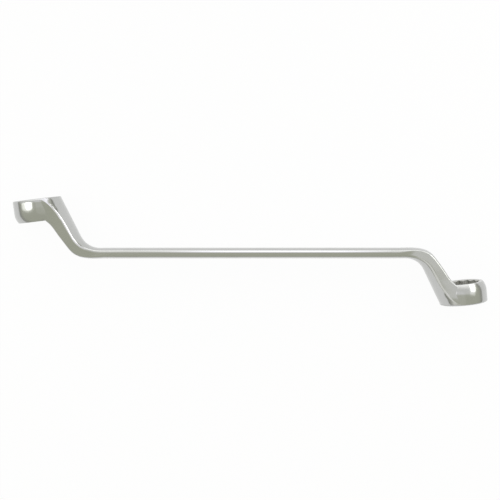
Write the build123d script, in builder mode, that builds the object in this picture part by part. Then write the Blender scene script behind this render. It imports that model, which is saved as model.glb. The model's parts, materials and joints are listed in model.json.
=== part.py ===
from build123d import *
from dataclasses import dataclass
from math import cos, radians, sin, sqrt
import os

# Double-ended deep-offset ring spanner, 19 mm and 18 mm. Lengths are in millimetres.
# It lies on its side: X runs along the shank and Z is up off the bench. The ring
# axes lie level, the head at -X rises to +Y and the head at +X drops to -Y.
# The origin is on the bench, under the middle of the whole spanner.

# Shank: flat sides, crowned broad faces and rounded ridges between them
overall_length = 301.2
shank_width = 12.4
shank_thickness = 6.8
shank_crown = 1.5
shank_ridge_radius = 1.8
shank_lead = 5.0

# Rings: both lean the same way, so a nut's axis is not square to the shank
head_tilt = 7.0
face_edge_radius = 0.8
hole_lead = 1.0
hole_clearance = 0.3
point_radius = 0.3

# Necks, drawn in side view: slopes from the shank, bends, and the crotch behind the ring
inner_neck_angle = 63.8
outer_neck_angle = 55.5
inner_bend_radius = 13.0
outer_bend_radius = 15.0
crotch_reach = 6.2
crotch_radius = 5.0
neck_crown_radius = 14.0
neck_ridge_radius = 2.8
outer_neck_crown = 1.2
outer_ridge_radius = 1.1
face_ledge = 1.1
rim_lip = 0.05
flare_angle = 75.0
seam = 0.2
overrun = 2.0

# Places of the sections that shape a neck. In the ring: share of the inner line, share of the
# ring's height, and crown radius as a share of the ring's. In the neck: shares of both lines.
# In the shank: shares of its lead.
ring_station_shares = ((0.05, 0.20, 0.98), (0.14, 0.39, 1.0), (0.28, 0.66, 1.0))
neck_station_shares = ((0.42, 0.14), (0.50, 0.27), (0.60, 0.43), (0.71, 0.60), (0.84, 0.78))
shank_station_shares = (0, 0.5, 1)
buried_crown_share = 0.963
buried_ridge_share = 0.985
buried_side_share = 0.9
buried_depth_share = 0.8
outer_line_share = 0.25
settling_steps = 30

# A twelve-point opening: its corners and its points, as shares of the size across flats
corner_share = 1 / (2 * cos(radians(15)))
point_share = 1 / sqrt(3)


@dataclass
class Head:
    """One end of the spanner: its opening, its ring, and the rise of its face off the shank's middle."""

    across_flats: float
    wall: float
    ring_height: float
    ring_taper: float
    taper_height: float
    rise: float
    side: int

    @property
    def ring_radius(self):
        """Outer radius of the ring, a wall's thickness outside the points of the opening."""
        return self.across_flats * point_share + self.wall


@dataclass
class BroadFace:
    """A crowned face of a section: half its width, its crown, and the radius of the ridges beside it."""

    half_width: float
    crown: float
    ridge_radius: float


large_head = Head(
    across_flats=19.0,
    wall=3.43,
    ring_height=14.0,
    ring_taper=1.9,
    taper_height=5.9,
    rise=34.3,
    side=-1,
)
small_head = Head(
    across_flats=18.0,
    wall=3.95,
    ring_height=13.0,
    ring_taper=1.8,
    taper_height=5.6,
    rise=31.6,
    side=1,
)
heads = (large_head, small_head)
bench_height = max(head.ring_radius for head in heads)

lean = Vector(cos(radians(head_tilt)), sin(radians(head_tilt)))
face_out = Vector(-sin(radians(head_tilt)), cos(radians(head_tilt)))


def side_plane(head):
    """Plane of a head's side view: x runs in to the shank, y the way the working face looks."""
    reach = overall_length / 2 - head.ring_radius
    return Plane(
        origin=(head.side * reach, shank_level, bench_height), x_dir=(-head.side, 0, 0), z_dir=(0, 0, 1)
    )


def ring_point(head, along, depth):
    """Side-view point at a distance in from the ring axis and a depth below the working face."""
    return Vector(0, head.rise) + lean * along - face_out * depth


def ring_coordinates(head, point):
    """Distance in from the ring axis, and depth below the working face, of a side-view point."""
    offset = point - Vector(0, head.rise)
    return offset.dot(lean), -offset.dot(face_out)


def slope(angle):
    """Side-view direction that runs in to the shank and falls at an angle to it."""
    return Vector(cos(radians(angle)), -sin(radians(angle)))


def slope_end(start, angle, level):
    """Where a slope from start comes down to a level of the side view."""
    return start + slope(angle) * ((start.Y - level) / sin(radians(angle)))


def ring_radius_at(head, depth):
    """Radius of the ring's tapering wall at a depth below the working face."""
    return head.ring_radius - head.ring_taper * min(max(depth, 0), head.ring_height) / head.ring_height


def flare_half_width(radius, along):
    """Half width of the neck's sides, which leave the ring on a tangent and narrow to the shank."""
    angle = radians(flare_angle)
    return max((radius - along * cos(angle)) / sin(angle), shank_width / 2)


def neck_top(head, depth):
    """Side-view point of the neck's inner face at a depth below the working face."""
    corner = ring_point(head, head.ring_radius + face_ledge, 0)
    return corner + slope(inner_neck_angle) * (depth / sin(radians(inner_neck_angle + head_tilt)))


def rim_reach(head):
    """Distance in from the ring axis of the outermost point of the working face's rounded rim."""
    along, _ = ring_coordinates(head, neck_top(head, face_edge_radius))
    return along + rim_lip


def head_top(head):
    """Furthest that a head stands off the shank's middle, on the rim of its working face."""
    return ring_point(head, rim_reach(head) - face_edge_radius, face_edge_radius).Y + face_edge_radius


def neck_lines(head):
    """Side-view lines of a neck's inner and outer faces, and how far in they reach."""
    half = shank_thickness / 2
    top = neck_top(head, face_edge_radius)
    inner_foot = slope_end(top, inner_neck_angle, half)
    crotch = ring_point(head, crotch_reach, head.ring_height - seam)
    outer_foot = slope_end(crotch, outer_neck_angle, -half)
    outer_start = ring_point(head, crotch_reach * outer_line_share, head.ring_height - seam)
    end = inner_foot.X + inner_bend_radius
    with BuildLine():
        inner = FilletPolyline(top, inner_foot, (end, half), radius=inner_bend_radius)
    with BuildLine():
        outer = FilletPolyline(
            outer_start, crotch, outer_foot, (end, -half), radius=(crotch_radius, outer_bend_radius)
        )
    return inner, outer, end


def crowned_section(head, inner_point, outer_point, inner, outer):
    """Section of the bar between a side-view point on its inner face and one on its outer face."""
    side_view = side_plane(head)
    origin = side_view.from_local_coords(outer_point)
    across = side_view.from_local_coords(inner_point) - origin
    ridge = across.length - inner.crown
    with BuildSketch(Plane(origin=origin, x_dir=across, z_dir=across.cross(Vector(0, 0, 1)))) as section:
        with BuildLine():
            ThreePointArc((outer.crown, -outer.half_width), (0, 0), (outer.crown, outer.half_width))
            Line((outer.crown, outer.half_width), (ridge, inner.half_width))
            ThreePointArc((ridge, inner.half_width), (across.length, 0), (ridge, -inner.half_width))
            Line((ridge, -inner.half_width), (outer.crown, -outer.half_width))
        make_face()
        fillet(section.vertices().sort_by(Axis.X)[:2], outer.ridge_radius)
        fillet(section.vertices().sort_by(Axis.X)[-2:], inner.ridge_radius)
    return section.sketch.face()


def arc_crown(radius, half_width):
    """Height of an arc of a radius over a chord of a half width."""
    return radius - sqrt(radius**2 - half_width**2)


def buried_section(head):
    """Top section of the neck, inside the rounded rim of the working face and inside the ring."""
    inner_point = neck_top(head, face_edge_radius * buried_depth_share)
    outer_point = ring_point(head, crotch_reach * outer_line_share, face_edge_radius * buried_depth_share)
    inner_half = head.ring_radius * buried_crown_share * buried_ridge_share
    crown = arc_crown(head.ring_radius * buried_crown_share, inner_half)
    along, _ = ring_coordinates(head, outer_point)
    outer_half = sqrt((head.ring_radius - seam) ** 2 - (along + outer_neck_crown) ** 2) * buried_side_share
    inner_face = BroadFace(inner_half, crown, outer_ridge_radius)
    outer_face = BroadFace(outer_half, outer_neck_crown, outer_ridge_radius)
    return crowned_section(head, inner_point, outer_point, inner_face, outer_face)


def neck_section(head, inner_point, outer_point, crown_radius, ridge_radius):
    """Section of the neck, as wide at its inner ridges as the flare is where they lie."""
    inward = (inner_point - outer_point).normalized()
    inner_half = shank_width / 2
    for _ in range(settling_steps):
        ridge = inner_point - inward * arc_crown(crown_radius, inner_half)
        along, _depth = ring_coordinates(head, ridge)
        wanted = min(flare_half_width(head.ring_radius, along), crown_radius * buried_ridge_share)
        inner_half = (inner_half + wanted) / 2
    along, depth = ring_coordinates(head, outer_point + inward * outer_neck_crown)
    radius = ring_radius_at(head, depth)
    if along < radius * cos(radians(flare_angle)):
        outer_half = sqrt((radius - seam / 2) ** 2 - along**2)
    else:
        outer_half = flare_half_width(radius - seam / 2, along)
    inner_face = BroadFace(inner_half, arc_crown(crown_radius, inner_half), ridge_radius)
    outer_face = BroadFace(outer_half, outer_neck_crown, outer_ridge_radius)
    return crowned_section(head, inner_point, outer_point, inner_face, outer_face)


def shank_section(head, distance):
    """Section of the shank at a distance in from the ring axis."""
    inner_point = Vector(distance, shank_thickness / 2)
    outer_point = Vector(distance, -shank_thickness / 2)
    face = BroadFace(shank_width / 2, shank_crown, shank_ridge_radius)
    return crowned_section(head, inner_point, outer_point, face, face)


# Height of the shank's middle along Y that puts the two heads' rims equally far from the origin
shank_level = sum(head.side * head_top(head) for head in heads) / 2

with BuildPart() as spanner:
    # Necks, each lofted from under its ring's working face down to the start of the shank
    shank_ends = []
    for head in heads:
        inner, outer, end = neck_lines(head)
        outer_along = crotch_reach * outer_line_share
        sections = [buried_section(head)]
        for inner_share, depth_share, crown_share in ring_station_shares:
            outer_point = ring_point(head, outer_along, head.ring_height * depth_share)
            crown_radius = head.ring_radius * crown_share
            sections.append(
                neck_section(head, inner @ inner_share, outer_point, crown_radius, neck_ridge_radius)
            )
        for inner_share, outer_share in neck_station_shares:
            ridge = neck_ridge_radius + (shank_ridge_radius - neck_ridge_radius) * inner_share
            sections.append(
                neck_section(head, inner @ inner_share, outer @ outer_share, neck_crown_radius, ridge)
            )
        for lead_share in shank_station_shares:
            sections.append(shank_section(head, end + shank_lead * lead_share))
        shank_ends.append(sections[-1])
        loft(sections=sections)

    # Shank between the necks
    first, last = shank_ends
    extrude(first, amount=last.center().X - first.center().X, dir=(1, 0, 0))

    for head in heads:
        side_view = side_plane(head)
        centre = side_view.from_local_coords(ring_point(head, 0, 0))
        along = side_view.from_local_coords(ring_point(head, 1, 0)) - centre
        outward = side_view.from_local_coords(ring_point(head, 0, -1)) - centre
        ring_half = Plane(origin=centre, x_dir=along, z_dir=along.cross(outward))

        # Ring with a straight wall that rounds in to its back face
        radius = head.ring_radius
        height = head.ring_height
        taper_top = head.taper_height - height
        back_radius = radius - head.ring_taper
        with BuildSketch(ring_half) as ring_profile:
            with BuildLine():
                Polyline((radius - face_edge_radius, 0), (0, 0), (0, -height), (back_radius, -height))
                TangentArc((radius, taper_top), (back_radius, -height), tangent=(0, -1))
                Line((radius, taper_top), (radius, -face_edge_radius))
                TangentArc((radius, -face_edge_radius), (radius - face_edge_radius, 0), tangent=(0, 1))
            make_face()
        revolve(axis=Axis(centre, outward))

        # Rounded rim of the working face where the neck runs up past the ring
        crown = radius * buried_crown_share + rim_lip
        rim = crown - face_edge_radius
        rim_centre = side_view.from_local_coords(ring_point(head, rim_reach(head) - crown, 0))
        with BuildSketch(Plane(origin=rim_centre, x_dir=along, z_dir=ring_half.z_dir)) as rim_profile:
            with BuildLine():
                Polyline((rim, 0), (0, 0), (0, -face_edge_radius), (crown, -face_edge_radius))
                TangentArc((crown, -face_edge_radius), (rim, 0), tangent=(0, 1))
            make_face()
        revolve(axis=Axis(rim_centre, outward))

        # Twelve-point opening, right through
        size = head.across_flats
        start = Plane(origin=centre, x_dir=along, z_dir=outward).offset(overrun)
        with BuildSketch(start) as opening:
            RegularPolygon(size / 2, 6, major_radius=False)
            RegularPolygon(size / 2, 6, major_radius=False, rotation=30)
            halfway = size * (corner_share + point_share) / 2
            points = opening.vertices().filter_by(lambda v: (Vector(*v) - start.origin).length > halfway)
            fillet(points, point_radius)
        extrude(amount=-(height + 2 * overrun), mode=Mode.SUBTRACT)

        # Lead-in cones at both faces, and the clearance that a nut needs behind the ring
        bore = size * point_share + hole_clearance
        waist = size * corner_share - hole_clearance
        with BuildSketch(ring_half) as lead_profile:
            with BuildLine():
                Polyline(
                    (0, overrun),
                    (bore, overrun),
                    (bore, 0),
                    (waist, -hole_lead),
                    (waist, hole_lead - height),
                    (bore, -height),
                    (bore, -height - bore),
                    (0, -height - bore),
                    close=True,
                )
            make_face()
        revolve(axis=Axis(centre, outward), mode=Mode.SUBTRACT)

spanner.part.label = "spanner"

os.makedirs("parts", exist_ok=True)
export_step(spanner.part, "parts/spanner.step")
box = spanner.part.bounding_box()
print("valid", spanner.part.is_valid, "solids", len(spanner.part.solids()), "volume", spanner.part.volume)
print("size", box.size, "lowest", box.min, "highest", box.max)
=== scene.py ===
"""Looks of a chrome-plated deep-offset ring spanner, lying on its side on a pale studio floor.

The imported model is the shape. This script gives it its plated finish, and builds the floor, the
lamps, the dome and the camera. Everything is in metres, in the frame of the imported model.
"""

import json
import logging
import math
from dataclasses import dataclass, field
from enum import Enum

import bpy
from mathutils import Matrix, Vector

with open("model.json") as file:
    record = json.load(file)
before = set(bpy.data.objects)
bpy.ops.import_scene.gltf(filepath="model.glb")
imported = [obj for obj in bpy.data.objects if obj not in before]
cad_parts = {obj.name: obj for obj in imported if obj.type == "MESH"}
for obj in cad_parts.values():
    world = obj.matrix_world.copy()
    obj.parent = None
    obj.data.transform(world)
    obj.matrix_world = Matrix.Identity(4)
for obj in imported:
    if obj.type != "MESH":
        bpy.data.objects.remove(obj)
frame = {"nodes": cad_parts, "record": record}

log = logging.getLogger("ring_spanner")

MM = 0.001
PHOTO_SIDE = 500

Socket = bpy.types.NodeSocket
Colour = tuple[float, float, float]
Point = tuple[float, float, float]
Span = tuple[float, float]

WHITE: Colour = (1.0, 1.0, 1.0)


class Sum(Enum):
    """The arithmetic that a Math node does."""

    ADD = "ADD"
    SUBTRACT = "SUBTRACT"
    MULTIPLY = "MULTIPLY"
    MULTIPLY_ADD = "MULTIPLY_ADD"
    LARGER = "MAXIMUM"
    SMALLER = "MINIMUM"
    ABSOLUTE = "ABSOLUTE"
    SIGN = "SIGN"
    SINE = "SINE"


class Outline(Enum):
    """The outline of a lamp."""

    SQUARE = "RECTANGLE"
    ROUND = "ELLIPSE"


@dataclass(frozen=True)
class Cloudiness:
    """A cloudy pattern: the width of its largest patches in metres, and its finer layers."""

    size: float
    detail: float = 2.0
    roughness: float = 0.5


class NodeBench:
    """A node tree, with short methods that add and link its nodes."""

    nodes_in_a_row: int = 12
    node_width: int = 180
    row_height: int = 220

    def __init__(self, tree: bpy.types.NodeTree) -> None:
        """Starts on a tree.

        Args:
            tree: The node tree that the nodes are added to.
        """
        self.tree = tree
        self.count = 0

    def add(self, kind: str, **settings: object) -> bpy.types.Node:
        """Adds a node.

        Args:
            kind: Blender's name of the node's type.
            **settings: Properties that are set on the node.

        Returns:
            The new node.
        """
        node = self.tree.nodes.new(kind)
        for name, value in settings.items():
            setattr(node, name, value)
        self.count += 1
        row, column = divmod(self.count, self.nodes_in_a_row)
        node.location = (self.node_width * column, -self.row_height * row)
        return node

    def feed(self, socket: Socket, value: object) -> None:
        """Links a socket to an input, or sets the input where the value is plain.

        Args:
            socket: The input.
            value: An output socket, a number or a vector.
        """
        if isinstance(value, bpy.types.NodeSocket):
            self.tree.links.new(value, socket)
        else:
            socket.default_value = value

    def sum(self, operation: Sum, *values: object, clamp: bool = False) -> Socket:
        """Does arithmetic on up to three values.

        Args:
            operation: What is done.
            *values: Sockets or numbers.
            clamp: Whether the result is kept between 0 and 1.

        Returns:
            The result.
        """
        node = self.add("ShaderNodeMath", operation=operation.value, use_clamp=clamp)
        for socket, value in zip(node.inputs, values):
            self.feed(socket, value)
        return node.outputs[0]

    def product(self, first: object, *others: object) -> Socket:
        """Multiplies two or more values.

        Args:
            first: A socket or number.
            *others: Sockets or numbers.

        Returns:
            Their product.
        """
        for other in others:
            first = self.sum(Sum.MULTIPLY, first, other)
        return first

    def added(self, base: object, share: Socket, step: float) -> Socket:
        """Adds a share of a step to a value.

        Args:
            base: The value.
            share: How much of the step is added.
            step: The step.

        Returns:
            The value with its share of the step.
        """
        return self.sum(Sum.MULTIPLY_ADD, share, step, base)

    def within(self, value: Socket, top: float) -> Socket:
        """Keeps a value between 0 and a top.

        Args:
            value: The value.
            top: The most it may be.

        Returns:
            The kept value.
        """
        return self.sum(Sum.SMALLER, self.sum(Sum.LARGER, value, 0.0), top)

    def outside(self, mask: Socket) -> Socket:
        """Turns a mask round, so that 1 becomes 0."""
        return self.sum(Sum.SUBTRACT, 1.0, mask, clamp=True)

    def ramp(self, value: Socket, span: Span) -> Socket:
        """Maps a value smoothly to between 0 and 1, and holds it beyond the ends.

        Args:
            value: The value.
            span: Where the result is 0 and where it is 1. The second may be the lower.

        Returns:
            The mapped value.
        """
        node = self.add("ShaderNodeMapRange", interpolation_type="SMOOTHSTEP", clamp=True)
        for socket, number in zip(node.inputs, (value, *span)):
            self.feed(socket, number)
        return node.outputs[0]

    def cloud(self, place: Socket, pattern: Cloudiness) -> Socket:
        """Cloudy noise between 0 and 1.

        Args:
            place: Where the noise is read.
            pattern: Its size and its finer layers.

        Returns:
            The noise's value.
        """
        node = self.add("ShaderNodeTexNoise")
        self.feed(node.inputs["Vector"], place)
        node.inputs["Scale"].default_value = 1 / pattern.size
        node.inputs["Detail"].default_value = pattern.detail
        node.inputs["Roughness"].default_value = pattern.roughness
        return node.outputs["Fac"]

    def stretched(self, place: Socket, scale: Point) -> Socket:
        """Squeezes a place along its axes, so that a pattern read there is stretched.

        Args:
            place: The place.
            scale: Factors along X, Y and Z.

        Returns:
            The squeezed place.
        """
        node = self.add("ShaderNodeVectorMath", operation="MULTIPLY")
        self.feed(node.inputs[0], place)
        node.inputs[1].default_value = scale
        return node.outputs[0]

    def parts(self, vector: Socket) -> tuple[Socket, Socket, Socket]:
        """Splits a vector.

        Args:
            vector: The vector.

        Returns:
            Its X, Y and Z.
        """
        node = self.add("ShaderNodeSeparateXYZ")
        self.feed(node.inputs[0], vector)
        return tuple(node.outputs)

    def facing(self, normal: Socket, way: Vector | Point) -> Socket:
        """Measures how squarely a surface faces a way.

        Args:
            normal: The surface's normal.
            way: The way.

        Returns:
            Their dot product.
        """
        node = self.add("ShaderNodeVectorMath", operation="DOT_PRODUCT")
        self.feed(node.inputs[0], normal)
        node.inputs[1].default_value = way
        return node.outputs["Value"]

    def mixed(self, share: object, first: object, second: object) -> Socket:
        """Mixes two colours.

        Args:
            share: How much of the second shows.
            first: A colour or its socket.
            second: A colour or its socket.

        Returns:
            The mixed colour.
        """
        node = self.add("ShaderNodeMix", data_type="RGBA")
        self.feed(node.inputs[0], share)
        for socket, value in zip((node.inputs[6], node.inputs[7]), (first, second)):
            self.feed(socket, (*value, 1.0) if isinstance(value, tuple) else value)
        return node.outputs[2]

    def bump(self, height: Socket, depth: float, strength: float, under: Socket | None = None) -> Socket:
        """Shades a relief.

        Args:
            height: The relief's height.
            depth: Metres for a height of 1.
            strength: How much of the relief shows.
            under: The normal of the relief below it, if there is one.

        Returns:
            The shaded normal.
        """
        node = self.add("ShaderNodeBump")
        node.inputs["Distance"].default_value = depth
        node.inputs["Strength"].default_value = strength
        self.feed(node.inputs["Height"], height)
        if under is not None:
            self.feed(node.inputs["Normal"], under)
        return node.outputs[0]


@dataclass(frozen=True)
class PlateTones:
    """The colours of the plating, a near-white highlight painted along the ridges, and how strongly two
    of them show.
    """

    bright: Colour = (0.525, 0.53, 0.52)
    satin: Colour = (0.52, 0.526, 0.50)
    smudge: Colour = (0.46, 0.465, 0.44)
    # A near-white, slightly blue tone painted along ridges as a highlight.
    ridge_highlight_tone: Colour = (0.92, 0.91, 1.0)
    socket: Colour = (0.50, 0.50, 0.475)
    satin_share: float = 0.6
    smudge_share: float = 0.25


@dataclass(frozen=True)
class PlateGloss:
    """The roughness of each zone, and what smudges and grain add to it."""

    polished: float = 0.13
    ring_wall: float = 0.16
    satin: float = 0.17
    ground: float = 0.22
    broached: float = 0.34
    smudge: float = 0.045
    grain: float = 0.05
    least: float = 0.04


@dataclass(frozen=True)
class PlateRelief:
    """The fine relief: forging waves, polishing grain and the turned lines of the working faces."""

    waves: Cloudiness = Cloudiness(9 * MM, 2.0, 0.45)
    wave_depth: float = 0.05 * MM
    wave_strength: float = 0.35
    grain: Cloudiness = Cloudiness(0.16 * MM, 2.0, 0.6)
    drawn: Cloudiness = Cloudiness(1.0, 3.0, 0.6)
    drawn_length: float = 18 * MM
    drawn_width: float = 0.3 * MM
    line_pitch: float = 0.22 * MM
    fine_depth: float = 0.004 * MM
    fine_strength: float = 0.6
    polished_share: float = 0.15


@dataclass(frozen=True)
class RingPolish:
    """How polishing rounds a ring's wall: over the taper's start and next to the working face."""

    crown_reach: float = 3.0 * MM
    crown_slope: float = 0.12
    rim_reach: float = 2.2 * MM
    rim_slope: float = 0.34


@dataclass(frozen=True)
class RingZones:
    """Where a ring's zones fade, as spans off its wall, its points and its working face."""

    wall: Span = (1.2 * MM, -0.4 * MM)
    socket: Span = (0.45 * MM, 0.15 * MM)
    face: Span = (-0.2 * MM, -0.05 * MM)
    squareness: Span = (0.97, 0.995)


@dataclass(frozen=True)
class PaintedRidgeHighlight:
    """Where a highlight is painted into the ridges' colour, by where they are and which way they face."""

    neck_way: Point = (-0.83, -0.56, 0.0)
    neck_rise: Span = (0.10, 0.22)
    neck_fall: Span = (0.70, 0.52)
    neck_start: Span = (0.100, 0.112)
    shank_rise: Span = (0.015, 0.10)
    shank_fall: Span = (0.72, 0.50)
    shank_middle: float = 0.018
    shank_reach: Span = (0.085, 0.030)
    shank_share: float = 0.8


@dataclass(frozen=True)
class PlatedFinish:
    """Chrome plate over a smooth forging, with a highlight painted along some of its ridges."""

    tones: PlateTones = PlateTones()
    gloss: PlateGloss = PlateGloss()
    relief: PlateRelief = PlateRelief()
    ring: RingPolish = RingPolish()
    zones: RingZones = RingZones()
    # Where the highlight is painted along the ridges.
    painted_highlight_ridges: PaintedRidgeHighlight = PaintedRidgeHighlight()
    clouds: Cloudiness = Cloudiness(14 * MM, 4.0, 0.55)
    smudges: Span = (0.42, 0.68)
    flats: Span = (0.80, 0.97)


@dataclass(frozen=True)
class RingPlace:
    """Where a ring is, read from the part's own mount, and its sizes."""

    centre: Vector
    outward: Vector
    height: float
    taper_height: float
    points_radius: float
    wall_radius: float

    @property
    def turn(self) -> float:
        """Angle about Z from +Y to the way the working face looks."""
        return math.atan2(-self.outward.x, self.outward.y)


@dataclass
class SurfaceZones:
    """Masks from 0 to 1 of the zones that are finished in their own way, and both rings' relief."""

    in_ring: object = 0.0
    in_socket: object = 0.0
    on_face: object = 0.0
    turned_lines: object = 0.0
    worn_away: object = 0.0


@dataclass
class PlatedForging:
    """The spanner itself: one forged and plated piece, dressed in its finish."""

    finish: PlatedFinish = PlatedFinish()
    node: str = "spanner"
    ring_heights: dict[str, float] = field(default_factory=lambda: {"19": 14 * MM, "18": 13 * MM})
    taper_heights: dict[str, float] = field(default_factory=lambda: {"19": 5.9 * MM, "18": 5.6 * MM})
    wall_radii: dict[str, float] = field(default_factory=lambda: {"19": 14.4 * MM, "18": 14.34 * MM})

    def rings(self) -> list[RingPlace]:
        """Reads where both rings are.

        Returns:
            One place for each ring.
        """
        places = []
        for mount in frame["record"]["mounts"]:
            if not mount["name"].startswith("socket_"):
                continue
            size = mount["name"].removeprefix("socket_")
            places.append(
                RingPlace(
                    centre=Vector(mount["pos_m"]),
                    outward=Vector(mount["axis"]),
                    height=self.ring_heights[size],
                    taper_height=self.taper_heights[size],
                    points_radius=float(size) * MM / math.sqrt(3),
                    wall_radius=self.wall_radii[size],
                )
            )
        return places

    def ring_frame(self, bench: NodeBench, place: Socket, ring: RingPlace) -> tuple[Socket, Socket]:
        """Measures a place from a ring's axis.

        Args:
            bench: The material's nodes.
            place: The place in the part's frame.
            ring: The ring.

        Returns:
            The distance from the axis, and the height above the ring's middle.
        """
        mapping = bench.add("ShaderNodeMapping", vector_type="TEXTURE")
        bench.feed(mapping.inputs["Vector"], place)
        mapping.inputs["Location"].default_value = ring.centre
        mapping.inputs["Rotation"].default_value = (0.0, 0.0, ring.turn)
        turned = mapping.outputs[0]
        reach = bench.add("ShaderNodeVectorMath", operation="LENGTH")
        bench.feed(reach.inputs[0], bench.stretched(turned, (1.0, 0.0, 1.0)))
        height = bench.parts(turned)[1]
        return reach.outputs["Value"], height

    def crowning(self, bench: NodeBench, height: Socket, ring: RingPlace) -> Socket:
        """Rounds a ring's wall towards its working face and where its taper starts, as polishing does.

        Args:
            bench: The material's nodes.
            height: The height above the ring's middle.
            ring: The ring.

        Returns:
            How far the surface is polished away, in metres.
        """
        tuning = self.finish.ring
        start = ring.taper_height - ring.height / 2
        above = bench.sum(Sum.SUBTRACT, start + tuning.crown_reach, height)
        above = bench.within(above, tuning.crown_reach)
        bend = tuning.crown_slope / (2 * tuning.crown_reach)
        rounding = bench.product(above, above, bend)
        below = bench.within(bench.sum(Sum.SUBTRACT, start, height), ring.taper_height)
        easing = tuning.crown_slope / (2 * ring.taper_height)
        slope = bench.added(tuning.crown_slope, below, -easing)
        taper = bench.sum(Sum.MULTIPLY_ADD, slope, below, rounding)
        worn = bench.sum(Sum.SUBTRACT, height, ring.height / 2 - tuning.rim_reach)
        worn = bench.within(worn, tuning.rim_reach)
        rim = bench.product(worn, worn, tuning.rim_slope / (2 * tuning.rim_reach))
        return bench.sum(Sum.ADD, taper, rim)

    def zones(self, bench: NodeBench, place: Socket, normal: Socket) -> SurfaceZones:
        """Finds the walls, openings and working faces of both rings.

        Args:
            bench: The material's nodes.
            place: The place in the part's frame.
            normal: The surface's normal.

        Returns:
            The zones.
        """
        fades = self.finish.zones
        found = SurfaceZones()
        for ring in self.rings():
            radius, height = self.ring_frame(bench, place, ring)
            near = bench.ramp(radius, tuple(ring.wall_radius + step for step in fades.wall))
            inside = bench.ramp(radius, tuple(ring.points_radius + step for step in fades.socket))
            square = bench.ramp(bench.facing(normal, ring.outward), fades.squareness)
            level = bench.ramp(height, tuple(ring.height / 2 + step for step in fades.face))
            face = bench.product(square, level, near)
            lines = bench.sum(Sum.SINE, bench.product(radius, math.tau / self.finish.relief.line_pitch))
            found.in_ring = bench.sum(Sum.LARGER, found.in_ring, near)
            found.in_socket = bench.sum(Sum.LARGER, found.in_socket, inside)
            found.on_face = bench.sum(Sum.LARGER, found.on_face, face)
            found.turned_lines = bench.sum(Sum.ADD, found.turned_lines, bench.product(lines, face))
            found.worn_away = bench.sum(Sum.ADD, found.worn_away, self.crowning(bench, height, ring))
        return found

    def ridges_with_painted_highlight(self, bench: NodeBench, place: Socket, normal: Socket) -> Socket:
        """Finds the rounded ridges where a highlight is painted into the colour.

        They are the ones on the outer side of both necks and the upper one along the middle of the shank.

        Args:
            bench: The material's nodes.
            place: The place in the part's frame.
            normal: The surface's normal.

        Returns:
            1 on those ridges and 0 elsewhere.
        """
        tuning = self.finish.painted_highlight_ridges
        along = bench.parts(place)[0]
        tilt = bench.product(bench.facing(normal, tuning.neck_way), bench.sum(Sum.SIGN, along))
        necks = bench.product(bench.ramp(tilt, tuning.neck_rise), bench.ramp(tilt, tuning.neck_fall))
        necks = bench.product(necks, bench.ramp(bench.sum(Sum.ABSOLUTE, along), tuning.neck_start))
        level = bench.parts(normal)[1]
        off_middle = bench.sum(Sum.ABSOLUTE, bench.sum(Sum.SUBTRACT, along, tuning.shank_middle))
        shank = bench.product(bench.ramp(level, tuning.shank_rise), bench.ramp(level, tuning.shank_fall))
        shank = bench.product(shank, bench.ramp(off_middle, tuning.shank_reach), tuning.shank_share)
        return bench.sum(Sum.LARGER, necks, shank)

    def roughness(
        self, bench: NodeBench, zones: SurfaceZones, satin: Socket, smudge: Socket, grain: Socket
    ) -> Socket:
        """Works out how rough each zone is.

        Args:
            bench: The material's nodes.
            zones: The zones of the rings.
            satin: Where the flats of the necks and the shank are satin.
            smudge: Where the plating is smudged.
            grain: The fine grain.

        Returns:
            The roughness.
        """
        gloss = self.finish.gloss
        rough = bench.added(gloss.polished, satin, gloss.satin - gloss.polished)
        rough = bench.added(rough, zones.in_ring, gloss.ring_wall - gloss.polished)
        rough = bench.added(rough, zones.on_face, gloss.ground - gloss.polished)
        rough = bench.added(rough, zones.in_socket, gloss.broached - gloss.polished)
        rough = bench.added(rough, smudge, gloss.smudge)
        rough = bench.added(rough, bench.sum(Sum.SUBTRACT, grain, 0.5), gloss.grain)
        return bench.sum(Sum.LARGER, rough, gloss.least, clamp=True)

    def colour(
        self, bench: NodeBench, zones: SurfaceZones, satin: Socket, smudge: Socket, painted_highlight_ridges: Socket
    ) -> Socket:
        """Works out the colour of the plating, with a highlight painted along the ridges.

        Args:
            bench: The material's nodes.
            zones: The zones of the rings.
            satin: Where the flats of the necks and the shank are satin.
            smudge: Where the plating is smudged.
            painted_highlight_ridges: Where a highlight is painted along the ridges.

        Returns:
            The colour.
        """
        tones = self.finish.tones
        colour = bench.mixed(bench.product(satin, tones.satin_share), tones.bright, tones.satin)
        colour = bench.mixed(bench.product(smudge, tones.smudge_share), colour, tones.smudge)
        # Paints a near-white highlight along the ridges that face the light, outside the rings.
        colour = bench.mixed(bench.product(painted_highlight_ridges, bench.outside(zones.in_ring)), colour, tones.ridge_highlight_tone)
        return bench.mixed(zones.in_socket, colour, tones.socket)

    def relief(
        self, bench: NodeBench, place: Socket, zones: SurfaceZones, satin: Socket, grain: Socket
    ) -> Socket:
        """Shades the rounding of the rings, the forging's waves, and the grain and lines over them.

        Args:
            bench: The material's nodes.
            place: The place in the part's frame.
            zones: The zones of the rings.
            satin: Where the flats of the necks and the shank are satin.
            grain: The fine grain.

        Returns:
            The shaded normal.
        """
        relief = self.finish.relief
        crown = bench.bump(bench.sum(Sum.SUBTRACT, 0.0, zones.worn_away), 1.0, 1.0)
        forged = bench.cloud(place, relief.waves)
        waves = bench.bump(forged, relief.wave_depth, relief.wave_strength, crown)
        squeeze = (1 / relief.drawn_length, 1 / relief.drawn_width, 1 / relief.drawn_width)
        drawn = bench.cloud(bench.stretched(place, squeeze), relief.drawn)
        share = bench.sum(Sum.ADD, satin, relief.polished_share)
        texture = bench.product(bench.sum(Sum.ADD, grain, drawn), share)
        fine = bench.sum(Sum.ADD, texture, zones.turned_lines)
        return bench.bump(fine, relief.fine_depth, relief.fine_strength, waves)

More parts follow.
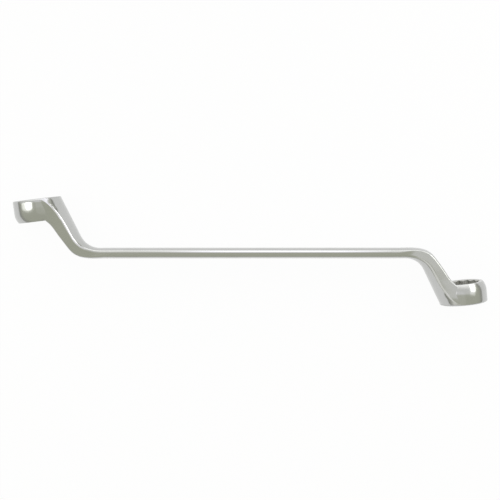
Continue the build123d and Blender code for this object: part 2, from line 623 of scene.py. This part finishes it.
    def material(self) -> bpy.types.Material:
        """Builds the plated finish.

        Returns:
            The material.
        """
        plated = bpy.data.materials.new("plated_forging")
        plated.use_nodes = True
        shader = plated.node_tree.nodes["Principled BSDF"]
        bench = NodeBench(plated.node_tree)
        place = bench.add("ShaderNodeTexCoord").outputs["Object"]
        normal = bench.add("ShaderNodeNewGeometry").outputs["Normal"]

        zones = self.zones(bench, place, normal)
        flats = bench.ramp(bench.sum(Sum.ABSOLUTE, bench.parts(normal)[2]), self.finish.flats)
        satin = bench.product(flats, bench.outside(zones.in_ring))
        smudge = bench.ramp(bench.cloud(place, self.finish.clouds), self.finish.smudges)
        grain = bench.cloud(place, self.finish.relief.grain)
        # Mask of the ridges that get a painted highlight.
        painted_highlight_ridges = self.ridges_with_painted_highlight(bench, place, normal)

        bench.feed(shader.inputs["Roughness"], self.roughness(bench, zones, satin, smudge, grain))
        bench.feed(shader.inputs["Base Color"], self.colour(bench, zones, satin, smudge, painted_highlight_ridges))
        bench.feed(shader.inputs["Normal"], self.relief(bench, place, zones, satin, grain))
        shader.inputs["Metallic"].default_value = 1.0
        return plated

    def dress(self) -> bpy.types.Object:
        """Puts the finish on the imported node.

        Returns:
            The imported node.
        """
        forging = frame["nodes"][self.node]
        plated = self.material()
        for slot in forging.material_slots:
            slot.material = plated
        return forging


def placed(
    name: str, data: bpy.types.ID, place: Vector, across: Vector, along: Vector, back: Vector
) -> bpy.types.Object:
    """Puts a lamp or a camera in the scene.

    Args:
        name: Its name.
        data: The lamp or camera.
        place: Where it is.
        across: The way its X looks.
        along: The way its Y looks.
        back: The way its back looks.

    Returns:
        Its object.
    """
    holder = bpy.data.objects.new(name, data)
    bpy.context.scene.collection.objects.link(holder)
    turn = Matrix((across, along, back)).transposed().to_4x4()
    holder.matrix_world = Matrix.Translation(place) @ turn
    return holder


@dataclass(frozen=True)
class Softbox:
    """An area lamp: where its middle is, which way its back looks and which way its length runs."""

    name: str
    place: Point
    away: Point
    along: Point
    width: float
    length: float
    glow: float
    outline: Outline = Outline.SQUARE

    def build(self) -> bpy.types.Object:
        """Adds the lamp, with its front towards the part.

        Returns:
            The lamp's object.
        """
        away = Vector(self.away).normalized()
        across = Vector(self.along).cross(away).normalized()
        lamp = bpy.data.lights.new(self.name, "AREA")
        lamp.shape = self.outline.value
        lamp.size = self.width
        lamp.size_y = self.length
        lamp.energy = self.glow * math.pi * self.width * self.length
        return placed(self.name, lamp, Vector(self.place), across, away.cross(across), away)


@dataclass(frozen=True)
class PaperFloor:
    """The floor: white paper that keeps a little of the part's shadow."""

    side: float = 20.0
    grey: float = 0.92
    mottle: Cloudiness = Cloudiness(0.4)
    mottle_depth: float = 0.01
    roughness: float = 0.85
    gloss: float = 0.1
    white_share: float = 0.95

    def build(self) -> bpy.types.Object:
        """Lays the floor. The camera and the plating see it white.

        Returns:
            The floor.
        """
        bpy.ops.object.select_all(action="DESELECT")
        bpy.ops.mesh.primitive_plane_add(size=self.side, location=(0, 0, 0))
        sheet = bpy.context.object
        sheet.name = "studio_floor"
        paper = bpy.data.materials.new("white_paper")
        paper.use_nodes = True
        bench = NodeBench(paper.node_tree)
        shader = paper.node_tree.nodes["Principled BSDF"]
        shader.inputs["Roughness"].default_value = self.roughness
        shader.inputs["Specular IOR Level"].default_value = self.gloss
        mottle = bench.cloud(bench.add("ShaderNodeTexCoord").outputs["Object"], self.mottle)
        tone = bench.mixed(mottle, (self.grey,) * 3, (self.grey - self.mottle_depth,) * 3)
        bench.feed(shader.inputs["Base Color"], tone)
        path = bench.add("ShaderNodeLightPath")
        seen = bench.sum(Sum.LARGER, path.outputs["Is Camera Ray"], path.outputs["Is Glossy Ray"])
        seen = bench.sum(Sum.LARGER, seen, path.outputs["Is Transmission Ray"])
        glow = bench.add("ShaderNodeEmission")
        glow.inputs["Color"].default_value = (*WHITE, 1.0)
        glow.inputs["Strength"].default_value = 1.0
        both = bench.add("ShaderNodeMixShader")
        bench.feed(both.inputs[0], bench.product(seen, self.white_share))
        bench.feed(both.inputs[1], shader.outputs[0])
        bench.feed(both.inputs[2], glow.outputs[0])
        output = paper.node_tree.nodes["Material Output"]
        bench.feed(output.inputs["Surface"], both.outputs[0])
        sheet.data.materials.append(paper)
        return sheet


@dataclass(frozen=True)
class SoftDome:
    """The soft dome: olive on the near side, pale beyond the part, dim low down, white at its foot.

    Each span is a stretch of the way's X, Y or Z over which one tone fades into another.
    """

    near_side: Colour = (0.60, 0.61, 0.52)
    horizon: Colour = (0.40, 0.40, 0.37)
    far_side: Colour = (0.90, 0.90, 0.88)
    far_low: Colour = (1.80, 1.80, 1.78)
    horizon_rise: Span = (0.08, 0.42)
    far_fall: Span = (0.48, 0.98)
    pale_lean: float = -0.065
    pale_edge: Span = (0.01, 0.115)
    pale_end: Span = (0.73, 0.55)
    pale_height: Span = (0.10, 0.45)
    pale_depth: Span = (0.30, 0.60)
    foot: Span = (0.042, 0.018)

    def build(self) -> None:
        """Builds the dome as the scene's world."""
        world = bpy.data.worlds.new("studio_dome")
        bpy.context.scene.world = world
        world.use_nodes = True
        bench = NodeBench(world.node_tree)
        side, back, height = bench.parts(bench.add("ShaderNodeTexCoord").outputs["Generated"])
        dim = bench.mixed(bench.ramp(height, self.horizon_rise), self.horizon, self.near_side)
        pale = bench.mixed(bench.ramp(back, self.far_fall), self.far_side, self.far_low)
        edge = bench.ramp(bench.added(back, side, self.pale_lean), self.pale_edge)
        lifted = bench.sum(
            Sum.LARGER, bench.ramp(height, self.pale_height), bench.ramp(back, self.pale_depth)
        )
        share = bench.product(edge, bench.ramp(side, self.pale_end), lifted)
        lit = bench.mixed(bench.ramp(height, self.foot), bench.mixed(share, dim, pale), WHITE)
        background = world.node_tree.nodes["Background"]
        bench.feed(background.inputs["Color"], lit)
        background.inputs["Strength"].default_value = 1.0


@dataclass(frozen=True)
class Studio:
    """The pale floor, the dome and the softboxes round the part.

    Each softbox has a brighter core, so that its highlight fades on one side.
    """

    floor: PaperFloor = PaperFloor()
    dome: SoftDome = SoftDome()
    lamps: tuple[Softbox, ...] = (
        Softbox(
            name="left_softbox",
            place=(-0.307, 0.019, 0.222),
            away=(-0.421, -0.064, 0.905),
            along=(-0.122, 0.992, 0.013),
            width=0.292,
            length=0.090,
            glow=0.75,
            outline=Outline.ROUND,
        ),
        Softbox(
            name="left_softbox_core",
            place=(-0.253, 0.025, 0.248),
            away=(-0.421, -0.064, 0.905),
            along=(-0.122, 0.992, 0.013),
            width=0.165,
            length=0.080,
            glow=1.1,
            outline=Outline.ROUND,
        ),
        Softbox(
            name="right_softbox",
            place=(0.324, 0.144, 0.266),
            away=(0.394, 0.477, 0.785),
            along=(-0.085, 0.87, -0.486),
            width=0.177,
            length=0.361,
            glow=0.45,
        ),
        Softbox(
            name="right_softbox_core",
            place=(0.320, 0.1875, 0.242),
            away=(0.394, 0.477, 0.785),
            along=(-0.085, 0.87, -0.486),
            width=0.160,
            length=0.26,
            glow=1.5,
        ),
    )

    def build(self) -> None:
        """Builds the floor, the dome and the lamps."""
        sheet = self.floor.build()
        log.info("laid %s, %.0f m wide", sheet.name, self.floor.side)
        self.dome.build()
        for lamp in self.lamps:
            holder = lamp.build()
            log.info("hung %s, %.2f m from the part's middle", holder.name, Vector(lamp.place).length)


@dataclass(frozen=True)
class PhotoCamera:
    """The photograph's viewpoint, above the part and looking down on its side."""

    place: Point = (-2.66 * MM, 45.73 * MM, 569.15 * MM)
    target: Point = (-0.90 * MM, 0.58 * MM, 14.6 * MM)
    focal_pixels: float = 875.9
    sensor: float = 36.0
    nearest: float = 0.01
    farthest: float = 20.0

    def build(self) -> bpy.types.Object:
        """Adds the camera and makes it the scene's.

        Returns:
            The camera's object.
        """
        lens = bpy.data.cameras.new("photo_camera")
        lens.sensor_width = self.sensor
        lens.lens = self.sensor * self.focal_pixels / PHOTO_SIDE
        lens.clip_start = self.nearest
        lens.clip_end = self.farthest
        eye = Vector(self.place)
        forward = (Vector(self.target) - eye).normalized()
        right = forward.cross(Vector((0.0, 1.0, 0.0))).normalized()
        holder = placed("photo_camera", lens, eye, right, right.cross(forward), -forward)
        bpy.context.scene.camera = holder
        return holder


def main() -> None:
    """Dresses the part and builds the studio and the camera."""
    logging.basicConfig(level=logging.INFO)
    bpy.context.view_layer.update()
    forging = PlatedForging().dress()
    log.info("dressed %s, %d triangles", forging.name, len(forging.data.polygons))
    Studio().build()
    camera = PhotoCamera().build()
    log.info("set up %s, %.2f m above the floor", camera.name, camera.matrix_world.translation.z)
    bpy.context.scene.view_settings.view_transform = "Standard"


if __name__ == "__main__":
    main()
